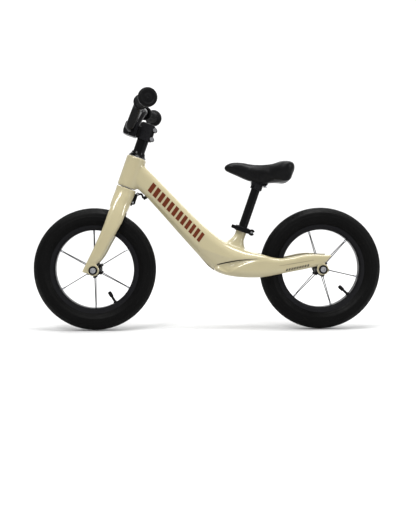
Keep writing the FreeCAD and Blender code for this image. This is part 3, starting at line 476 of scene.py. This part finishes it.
def straighten_underside(points):
    """Takes the bow out of the beam's lower edge."""
    run = points @ np.array(BEAM_ALONG) / MM
    height = points @ np.array(BEAM_UP) / MM
    stations = np.arange(BEAM_RUN[0], BEAM_RUN[1] + 1, BEAM_STEP)
    lowest = np.array([height[np.abs(run - station) < BEAM_STEP / 2].min() for station in stations])
    straight = np.interp(stations, BEAM_RUN, (lowest[0], lowest[-1]))
    lift = np.interp(run, stations, straight - lowest, left=0, right=0)
    share = 1 - ramp(height - np.interp(run, stations, lowest), 0, UNDERSIDE_REACH)
    return points + np.outer(lift * share, np.array(BEAM_UP)) * MM


def carve_scoop(points):
    """Hollows the side under the lip, deepest right under it and running out at the leaf line."""
    x, y, z = (points / MM).T
    lip = along_line(x, LIP_LINE)
    leaf = along_line(x, LEAF_LINE)
    height = np.maximum(lip - leaf, 0.5)
    up = np.clip((z - leaf) / height, 0, 1)
    under_lip = 1 - ramp(z - lip, -0.8, 0.8)
    depth = along_line(x, SCOOP_DEPTH) * up ** 0.8 * under_lip * (np.abs(y) > 14)
    points[:, 1] -= np.sign(y) * depth * MM
    return points


def frame_shell():
    """The one-piece magnesium frame: fillets where its limbs meet, and a scooped flank."""
    shell = soft_copy(["frame_casting"], "frame_shell", "cream_paint", SHELL_VOXEL)
    points = read_points(shell.data)
    edges = read_edges(shell.data)
    behind, across, along = STEERING.split(points)
    on_head = (1 - ramp(np.hypot(behind, across), 26, 32))
    rims = on_head * ramp(np.abs(along - 39), 30, 35)
    points = relax(points, edges, 1 - 0.9 * rims, 8, 0.3)
    fillets = np.maximum.reduce([near(points, centre, radius) for centre, radius in FRAME_FILLETS])
    points = relax(points, edges, fillets * (1 - rims), 40)
    flare = near(points, (0.095, -0.03, 0.180), 48) + near(points, (0.095, 0.03, 0.180), 48)
    points = relax(points, edges, np.clip(flare, 0, 1), 25)
    points = carve_scoop(slope_underside(straighten_underside(points)))
    x, y, z = (points / MM).T
    flank = (ramp(x, 0, 15) * (1 - ramp(x, 160, 190)) * (np.abs(y) > 12)).astype(float)
    points = relax(points, edges, flank * (z < 185), 8)
    points = relax(points, edges, np.full(len(points), 0.5) * (1 - rims), 2)
    write_points(shell.data, points)
    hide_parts("frame_casting")
    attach(shell, "frame")
    return shell


def fork_shell():
    """The fork: a crown whose shoulders run into flat blades."""
    shell = soft_copy(["fork_casting"], "fork_shell", "cream_paint", SHELL_VOXEL)
    points = read_points(shell.data)
    edges = read_edges(shell.data)
    along = STEERING.split(points)[2]
    top_rim = ramp(along, -3.5, -1.5)
    points = relax(points, edges, 1 - 0.9 * top_rim, 10, 0.3)
    behind, _, along = STEERING.split(points)
    side = np.abs(points[:, 1]) / MM
    shoulder = ramp(-along, 18, 44) * (1 - ramp(-along, 70, 118)) * ramp(side, 12, 26)
    dent = 3.4 * shoulder * ramp(behind, -16, 6) * (1 - ramp(behind, 14, 26))
    points[:, 1] -= np.sign(points[:, 1]) * dent * MM
    points = relax(points, edges, shoulder, 14)
    write_points(shell.data, points)
    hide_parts("fork_casting")
    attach(shell, "fork")
    return shell


# Graphics: thin inked shapes that lie on the paint; the dark stripe along the lip also paints the shadow line
# under its overhang

# Places on the side of the frame are (x, z) or along and up the beam, in millimetres.
MARK_COUNT = 12
MARK_START = -350.0
MARK_WIDTH = 11.4
MARK_SHRINK = 0.02
MARK_GAP = 5.0
MARK_LEAN = 4.0
MARK_FOOT = 135.0
MARK_TOP = 158.5
# The dark stripe along the lip edge, thick at the front and tapering back: a stripe that also paints the shadow
# line under the lip's overhang.
LIP_SHADOW_STRIPE = ((21, 161), (30, 163.4), (42, 166.2), (60, 169.8), (72, 171.8), (95, 174.4), (118, 176))
LIP_SHADOW_STRIPE_HALF = (0.7, 1.5, 1.6, 1.5, 1.2, 0.7, 0.2)
TICK_COUNT = 9
TICK_START = (186, 146)
TICK_PITCH = 6.4
TICK_RISE = 0.21
TICK_HEIGHT = 6.0
TICK_WIDTH = 3.4
STAY_LINE = ((170, 159), (200, 163.5), (230, 168.5), (254, 172.5))
STAY_LINE_HALF = (0.15, 0.35, 0.35, 0.15)
INK_PROUD = 0.12 * MM
INK_THICKNESS = 0.5 * MM


def surface_of(piece):
    graph = bpy.context.evaluated_depsgraph_get()
    return BVHTree.FromObject(piece, graph)


def on_side(surface, x, z, side):
    """Where a line across the bike first meets the surface from one side, with its normal."""
    start = Vector((x, side * 0.3, z))
    place, normal, _, _ = surface.ray_cast(start, Vector((0, -side, 0)))
    return place, normal


def ink(name, surface, side, rows, material):
    """A closed thin skin over the surface: rows is a grid of (x, z) points in millimetres."""
    outer, inner = [], []
    for row in rows:
        for x, z in row:
            place, normal = on_side(surface, x * MM, z * MM, side)
            outer.append(place + normal * INK_PROUD)
            inner.append(place - normal * (INK_THICKNESS - INK_PROUD))
    high, wide = len(rows), len(rows[0])
    faces = []
    for i in range(high - 1):
        for j in range(wide - 1):
            corner = i * wide + j
            faces.append((corner, corner + 1, corner + wide + 1, corner + wide))
    total = high * wide
    faces += [tuple(index + total for index in reversed(face)) for face in faces]
    rim = list(range(wide)) + [i * wide + wide - 1 for i in range(1, high)]
    rim += [(high - 1) * wide + j for j in range(wide - 2, -1, -1)]
    rim += [i * wide for i in range(high - 2, 0, -1)]
    for first, second in zip(rim, rim[1:] + rim[:1]):
        faces.append((second, first, first + total, second + total))
    piece = new_piece(name, outer + inner, faces, material, smooth=False)
    fix_normals(piece)
    return piece


def slanted_block(foot, top, start, end, lean, count):
    """Grid rows of a slanted block on the beam: heights across it, and its ends along it."""
    rows = []
    for level in np.linspace(0, 1, count):
        height = foot + (top - foot) * level
        shift = lean * (1 - level)
        rows.append([tuple((BEAM_ALONG * (run + shift) + BEAM_UP * height).xz)
                     for run in np.linspace(start, end, count)])
    return rows


def ribbon(line, half_widths, steps):
    """Grid rows of a ribbon along a line of (x, z) points, with a half width at each point."""
    x = np.linspace(line[0][0], line[-1][0], steps)
    z = along_line(x, line)
    half = np.interp(x, [point[0] for point in line], half_widths)
    return [[(a, b + level * c) for a, b, c in zip(x, z, half)] for level in (-1, 0, 1)]


def graphics(shell):
    """Plain slanted blocks on the beam, a tapered dark line on the lip that also paints the shadow under its
    overhang, and small ticks on the stays.
    """
    surface = surface_of(shell)
    made = []
    for side, tag in ((-1, "left"), (1, "right")):
        run = MARK_START
        for number in range(MARK_COUNT):
            width = MARK_WIDTH * (1 - MARK_SHRINK * number)
            rows = slanted_block(MARK_FOOT, MARK_TOP, run, run + width, MARK_LEAN, 9)
            made.append(ink(f"beam_block_{tag}_{number + 1}", surface, side, rows, "maroon_ink"))
            run += width + MARK_GAP
        # Dark stripe on the lip edge, which also paints the overhang's shadow line.
        rows = ribbon(LIP_SHADOW_STRIPE, LIP_SHADOW_STRIPE_HALF, 50)
        made.append(ink(f"lip_shadow_stripe_{tag}", surface, side, rows, "dark_ink_and_shadow"))
        for number in range(TICK_COUNT):
            x = TICK_START[0] + number * TICK_PITCH
            z = TICK_START[1] + number * TICK_PITCH * TICK_RISE
            rows = [[(x + TICK_WIDTH * (part + 0.6 * level), z + TICK_HEIGHT * level) for part in (0, 0.5, 1)]
                    for level in (0, 0.5, 1)]
            made.append(ink(f"stay_tick_{tag}_{number + 1}", surface, side, rows, "dark_ink_and_shadow"))
        rows = ribbon(STAY_LINE, STAY_LINE_HALF, 24)
        made.append(ink(f"stay_line_{tag}", surface, side, rows, "dark_ink_and_shadow"))
    for piece in made:
        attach(piece, "frame")


# Wheels

TYRE_RADIUS = (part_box("front_tyre")[1].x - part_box("front_tyre")[0].x) / 2 / MM
TYRE_SECTION = (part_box("front_tyre")[1].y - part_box("front_tyre")[0].y) / 2 / MM
TYRE_SECTION_CENTRE = TYRE_RADIUS - TYRE_SECTION
BEAD_RADIUS = 101.6
TREAD_STEPS = 360
# Raised or sunk rings of the tyre: angle round the section from the tread in degrees, height in millimetres,
# and width in degrees.
TYRE_RINGS = ((17, -0.9, 2.6), (33, -0.9, 2.6), (62, 0.5, 5), (78, -0.5, 3), (104, 0.9, 6), (122, -0.6, 4))
SIPE_COUNT = 72
SIPE_DEPTH = 0.8


def tyre_section():
    """Points (radius, across, angle) of the tyre's outside, then the foot and the inside of its wall."""
    bead_angle = 137.0
    outer = []
    for angle in np.linspace(-bead_angle, bead_angle, 97):
        swell = sum(height * math.exp(-((abs(angle) - place) / width) ** 2)
                    for place, height, width in TYRE_RINGS)
        size = TYRE_SECTION - 0.9 + min(swell, 0.9)
        turn = math.radians(angle)
        outer.append((TYRE_SECTION_CENTRE + size * math.cos(turn), size * math.sin(turn), angle))
    foot = [(BEAD_RADIUS, 12.7, 180), (BEAD_RADIUS, 10.4, 180)]
    inner = []
    for angle in np.linspace(125, -125, 25):
        turn = math.radians(angle)
        size = TYRE_SECTION - 3.6
        inner.append((TYRE_SECTION_CENTRE + size * math.cos(turn), size * math.sin(turn), 180))
    return outer + foot + inner + [(radius, -across, angle) for radius, across, angle in reversed(foot)]


def tyre(name, centre, body):
    section = tyre_section()
    points = []
    for step in range(TREAD_STEPS):
        turn = 2 * math.pi * step / TREAD_STEPS
        wave = max(0.0, math.cos(SIPE_COUNT * turn)) ** 3
        for radius, across, angle in section:
            shoulder = math.exp(-((abs(angle) - 42) / 9) ** 2)
            radius -= SIPE_DEPTH * wave * shoulder
            points.append(centre + Vector((radius * math.cos(turn), across, radius * math.sin(turn))) * MM)
    size = len(section)
    faces = []
    for step in range(TREAD_STEPS):
        ahead = (step + 1) % TREAD_STEPS * size
        here = step * size
        for k in range(size):
            after = (k + 1) % size
            faces.append((here + k, here + after, ahead + after, ahead + k))
    piece = new_piece(f"{name}_tyre_skin", points, faces, "tyre_rubber")
    fix_normals(piece)
    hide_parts(f"{name}_tyre")
    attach(piece, body)


# Valve caps

CAP_AROUND = 48
CAP_PROFILE = (
    (0.4, -7.2), (3.4, -7.2), (4.3, -6.8), (4.6, -6.0), (4.7, 3.5),
    (4.5, 4.8), (3.6, 6.2), (2.2, 7.0), (0.4, 7.2),
)
CAP_RIBS = 12


def valve_cover(name, centre, body):
    """The ribbed plastic cap at the free end of a valve."""
    low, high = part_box(f"{name}_valve_cap")
    middle = (low + high) / 2
    inward = centre - middle
    inward.y = 0
    inward.normalize()
    side = inward.cross(ACROSS)
    points = []
    for step in range(CAP_AROUND):
        turn = 2 * math.pi * step / CAP_AROUND
        ray = ACROSS * math.cos(turn) + side * math.sin(turn)
        rib = 0.35 * max(0.0, math.cos(CAP_RIBS * turn))
        points += [middle + (ray * (radius - rib * (radius > 4.4)) + inward * along) * MM
                   for radius, along in CAP_PROFILE]
    size = len(CAP_PROFILE)
    faces = []
    for step in range(CAP_AROUND):
        here = step * size
        ahead = (step + 1) % CAP_AROUND * size
        faces += [(here + k, here + k + 1, ahead + k + 1, ahead + k) for k in range(size - 1)]
    faces.append(tuple(step * size for step in range(CAP_AROUND)))
    faces.append(tuple(step * size + size - 1 for step in range(CAP_AROUND)))
    piece = new_piece(f"{name}_valve_cover", points, faces, "black_plastic")
    fix_normals(piece)
    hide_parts(f"{name}_valve_cap")
    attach(piece, body)


# Grips

GRIP_AROUND = 96
GRIP_LENGTH = 100.0
GRIP_KNOB = 88.0
BAR_RADIUS = 11.15
# The bar's end from the middle of the bar, the way it points there, and how far the grip goes past it.
BAR_END = (49.5, 196.0, 48.5)
BAR_HEADING = (25.0, 118.0, -2.3)
GRIP_OVERHANG = 4.5
# The safety knob's outline: radius, and distance from where it starts.
KNOB_PROFILE = (
    (14.6, -5), (16.4, -3.6), (19.4, -2.4), (20.9, -1.4), (21.6, 0.4), (21.7, 3), (21.7, 6),
    (21.5, 8.2), (20.8, 9.8), (19.4, 11.0), (17.4, 11.7), (15.4, 12.0), (14.4, 11.9), (13.9, 11.2),
    (13.0, 10.9), (9.0, 10.8), (7.4, 11.2), (6.6, 11.6), (3.0, 11.7), (0.6, 11.7),
)
KNOB_FLUTES = 24
FLUTE_DEPTH = 0.35


def grip_profile():
    """Points (radius, distance from the inner end) of the grip's outside, then of its bore."""
    outside = [(16.4, 0), (17.2, 0.4), (17.5, 1.2), (17.5, 2.8), (17.2, 3.6), (16.2, 4.1), (14.0, 4.8)]
    ribs = np.arange(6.0, GRIP_KNOB - 6, 0.5)
    outside += [(13.85 + 0.75 * max(0.0, math.sin(math.pi * place / 2.6)) ** 0.6, place) for place in ribs]
    outside += [(radius, GRIP_KNOB + place) for radius, place in KNOB_PROFILE]
    bore = [(0.6, GRIP_LENGTH - 4.4), (BAR_RADIUS - 0.5, GRIP_LENGTH - 4.4),
            (BAR_RADIUS, GRIP_LENGTH - 5), (BAR_RADIUS, 0)]
    return outside + bore


def grip(name, node, side):
    """A turned rubber grip along its bar end, with flutes pressed into the knob."""
    outward = Vector((BAR_HEADING[0], side * BAR_HEADING[1], BAR_HEADING[2])).normalized()
    bar_end = BAR_CENTRE + Vector((BAR_END[0], side * BAR_END[1], BAR_END[2])) * MM
    start = bar_end + outward * (GRIP_OVERHANG - GRIP_LENGTH) * MM
    first = outward.cross(Vector((0, 0, 1))).normalized()
    second = outward.cross(first)
    profile = grip_profile()
    points = []
    for step in range(GRIP_AROUND):
        turn = 2 * math.pi * step / GRIP_AROUND
        ray = first * math.cos(turn) + second * math.sin(turn)
        flute = max(0.0, math.cos(KNOB_FLUTES * turn)) ** 2
        for radius, place in profile:
            if place > GRIP_KNOB - 1 and radius > 21:
                radius -= FLUTE_DEPTH * flute
            points.append(start + (ray * radius + outward * place) * MM)
    size = len(profile)
    faces = []
    for step in range(GRIP_AROUND):
        here = step * size
        ahead = (step + 1) % GRIP_AROUND * size
        faces += [(here + k, here + (k + 1) % size, ahead + (k + 1) % size, ahead + k) for k in range(size)]
    piece = new_piece(name, points, faces, "grip_rubber")
    fix_normals(piece)
    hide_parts(node)
    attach(piece, "handlebar")


# Saddle

SADDLE_VOXEL = 4 * MM
CUSHION_CAP = 3.2 * MM
CLOTH_FRAMES = 20


def inflate(piece, pressure, cap):
    """Blows the closed mesh up as cloth, lets no point move further than the cap, and applies it."""
    before = read_points(piece.data)
    cloth = piece.modifiers.new("cloth", "CLOTH")
    cloth.settings.use_pressure = True
    cloth.settings.uniform_pressure_force = pressure
    cloth.settings.effector_weights.gravity = 0
    cloth.settings.quality = 6
    cloth.collision_settings.use_collision = False
    cloth.point_cache.frame_start = 1
    cloth.point_cache.frame_end = CLOTH_FRAMES
    scene = bpy.context.scene
    for number in range(1, CLOTH_FRAMES + 1):
        scene.frame_set(number)
    apply_modifiers(piece)
    scene.frame_set(1)
    after = read_points(piece.data)
    move = after - before
    length = np.linalg.norm(move, axis=1)
    shrink = np.minimum(1, cap / np.maximum(length, 1e-9))
    write_points(piece.data, before + move * shrink[:, None])


def cushion():
    """The saddle's padded cover."""
    piece = soft_copy(["saddle_cushion", "saddle_base"], "saddle_cover", "saddle_vinyl", SADDLE_VOXEL)
    points = read_points(piece.data)
    edges = read_edges(piece.data)
    write_points(piece.data, relax(points, edges, np.ones(len(points)), 4))
    inflate(piece, 4, CUSHION_CAP)
    points = read_points(piece.data)
    write_points(piece.data, relax(points, read_edges(piece.data), np.full(len(points), 0.6), 3))
    subdivision = piece.modifiers.new("subdivision", "SUBSURF")
    subdivision.levels = 2
    subdivision.render_levels = 2
    apply_modifiers(piece)
    piece.data.polygons.foreach_set("use_smooth", [True] * len(piece.data.polygons))
    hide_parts("saddle_cushion", "saddle_base")
    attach(piece, "seat")
    return piece


# Seat clamp lever

LEVER_VOXEL = 0.6 * MM
LEVER_SWELL = 0.7 * MM


def lever():
    """The quick-release lever, swollen and rounded like a casting."""
    piece = soft_copy(["seat_clamp_lever"], "lever_casting", "black_alloy", LEVER_VOXEL)
    normals = np.empty(len(piece.data.vertices) * 3)
    piece.data.vertices.foreach_get("normal", normals)
    points = read_points(piece.data) + normals.reshape(-1, 3) * LEVER_SWELL
    write_points(piece.data, relax(points, read_edges(piece.data), np.ones(len(points)), 12, 0.3))
    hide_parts("seat_clamp_lever")
    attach(piece, "lever")


# Steering limiter

STRAP_STEPS = 28
STRAP_AROUND = 16
# Ends and top of the strap, behind, across and along the steering axis.
STRAP_START = (34.5, 0, -6.0)
STRAP_TOP = (40.0, 0, -3.6)
STRAP_END = (46.0, 0, -11.0)
STRAP_HALF_WIDTH = 3.6
STRAP_HALF_THICKNESS = 2.5


def strap():
    """The rubber strap of the steering limiter."""
    start = STEERING.at(*STRAP_START)
    top = STEERING.at(*STRAP_TOP)
    end = STEERING.at(*STRAP_END)
    bend = top * 2 - (start + end) / 2
    points = []
    for step in range(STRAP_STEPS + 1):
        t = step / STRAP_STEPS
        centre = start * (1 - t) ** 2 + bend * 2 * t * (1 - t) + end * t ** 2
        ahead = (bend - start) * (1 - t) + (end - bend) * t
        ahead.normalize()
        up = ahead.cross(ACROSS).normalized()
        swell = 1 + 0.12 * math.cos(12 * math.pi * t)
        for k in range(STRAP_AROUND):
            turn = 2 * math.pi * k / STRAP_AROUND
            wide = ACROSS * STRAP_HALF_WIDTH * math.cos(turn)
            thick = up * STRAP_HALF_THICKNESS * math.sin(turn)
            points.append(centre + (wide + thick) * swell * MM)
    faces = [tuple(reversed(range(STRAP_AROUND)))]
    for step in range(STRAP_STEPS):
        here = step * STRAP_AROUND
        for k in range(STRAP_AROUND):
            after = (k + 1) % STRAP_AROUND
            faces.append((here + k, here + after, here + STRAP_AROUND + after, here + STRAP_AROUND + k))
    faces.append(tuple(STRAP_STEPS * STRAP_AROUND + k for k in range(STRAP_AROUND)))
    piece = new_piece("limiter_band", points, faces, "grip_rubber")
    fix_normals(piece)
    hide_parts("limiter_strap")
    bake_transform(piece)


# Stage, light and camera

WORLD_STRENGTH = 0.55
LIT_POINT = (0, 0, 0.25)
CAMERA_PLACE = (-0.0658, -1.982, 0.2805)
CAMERA_AHEAD = (0.0332, 0.9979, -0.0550)
CAMERA_ROLL = -0.0026
LENS = 56.0
SENSOR_WIDTH = 36
FAR_CLIP = 50
SWEEP_HALF_WIDTH = 7.0
SWEEP_FRONT = -6.0
SWEEP_FOOT = 3.0
SWEEP_RADIUS = 1.5
SWEEP_TOP = 5.0


def stage():
    """A pale floor that curves up into a pale wall far behind the bike."""
    profile = [(SWEEP_FRONT, 0.0)]
    profile += [(SWEEP_FOOT + SWEEP_RADIUS * math.sin(turn), SWEEP_RADIUS - SWEEP_RADIUS * math.cos(turn))
                for turn in np.linspace(0, math.pi / 2, 12)]
    profile += [(SWEEP_FOOT + SWEEP_RADIUS, SWEEP_TOP)]
    points = [(x, y, z) for y, z in profile for x in (-SWEEP_HALF_WIDTH, SWEEP_HALF_WIDTH)]
    faces = [(2 * k, 2 * k + 1, 2 * k + 3, 2 * k + 2) for k in range(len(profile) - 1)]
    floor = new_piece("studio_floor", points, faces, "studio_floor")


def studio_floor():
    paper = Finish("studio_floor", (0.58, 0.58, 0.58, 1.0), 0.85, specular=0.2)
    paper.mottle(3, 0.99, 1.01).uneven(30, 0.04)
    return paper.relief(paper.noise(200, 3.0), 0.03, 0.0005).material


def area_light(name, place, target, width, height, power):
    lamp = bpy.data.lights.new(name, "AREA")
    lamp.shape = "RECTANGLE"
    lamp.size = width
    lamp.size_y = height
    lamp.energy = power
    lamp_object = bpy.data.objects.new(name, lamp)
    lamp_object.location = place
    lamp_object.rotation_euler = (Vector(target) - Vector(place)).to_track_quat("-Z", "Y").to_euler()
    bpy.context.scene.collection.objects.link(lamp_object)


def light():
    world = bpy.data.worlds.new("studio")
    world.use_nodes = True
    background = world.node_tree.nodes["Background"]
    background.inputs["Color"].default_value = (1, 1, 1, 1)
    background.inputs["Strength"].default_value = WORLD_STRENGTH
    bpy.context.scene.world = world
    area_light("key", (-0.9, -1.7, 2.0), LIT_POINT, 0.9, 0.6, 34)
    area_light("top", (0.1, -0.35, 2.2), LIT_POINT, 1.6, 0.7, 50)
    area_light("side", (1.9, -1.0, 0.9), LIT_POINT, 0.15, 1.2, 15)
    area_light("back", (0.6, 2.0, 1.6), LIT_POINT, 2.0, 1.2, 12)
    area_light("wall_wash", (0, 1.6, 3.4), (0, 4.5, 1.0), 7.0, 0.8, 260)


def camera():
    lens = bpy.data.cameras.new("camera")
    lens.lens = LENS
    lens.sensor_width = SENSOR_WIDTH
    lens.clip_end = FAR_CLIP
    view = bpy.data.objects.new("camera", lens)
    turn = Vector(CAMERA_AHEAD).to_track_quat("-Z", "Y").to_matrix() @ Matrix.Rotation(CAMERA_ROLL, 3, "Z")
    view.matrix_world = Matrix.Translation(CAMERA_PLACE) @ turn.to_4x4()
    bpy.context.scene.collection.objects.link(view)
    bpy.context.scene.camera = view


MATERIALS["studio_floor"] = studio_floor()
bpy.context.scene.view_settings.view_transform = "Standard"
dress_cad_nodes()
stage()
light()
camera()
frame_skin = frame_shell()
fork_shell()
graphics(frame_skin)
tyre("front", FRONT_AXLE, "front_wheel")
tyre("rear", REAR_AXLE, "rear_wheel")
valve_cover("front", FRONT_AXLE, "front_wheel")
valve_cover("rear", REAR_AXLE, "rear_wheel")
grip("left_grip_rubber", "left_grip", -1)
grip("right_grip_rubber", "right_grip", 1)
cushion()
lever()
strap()
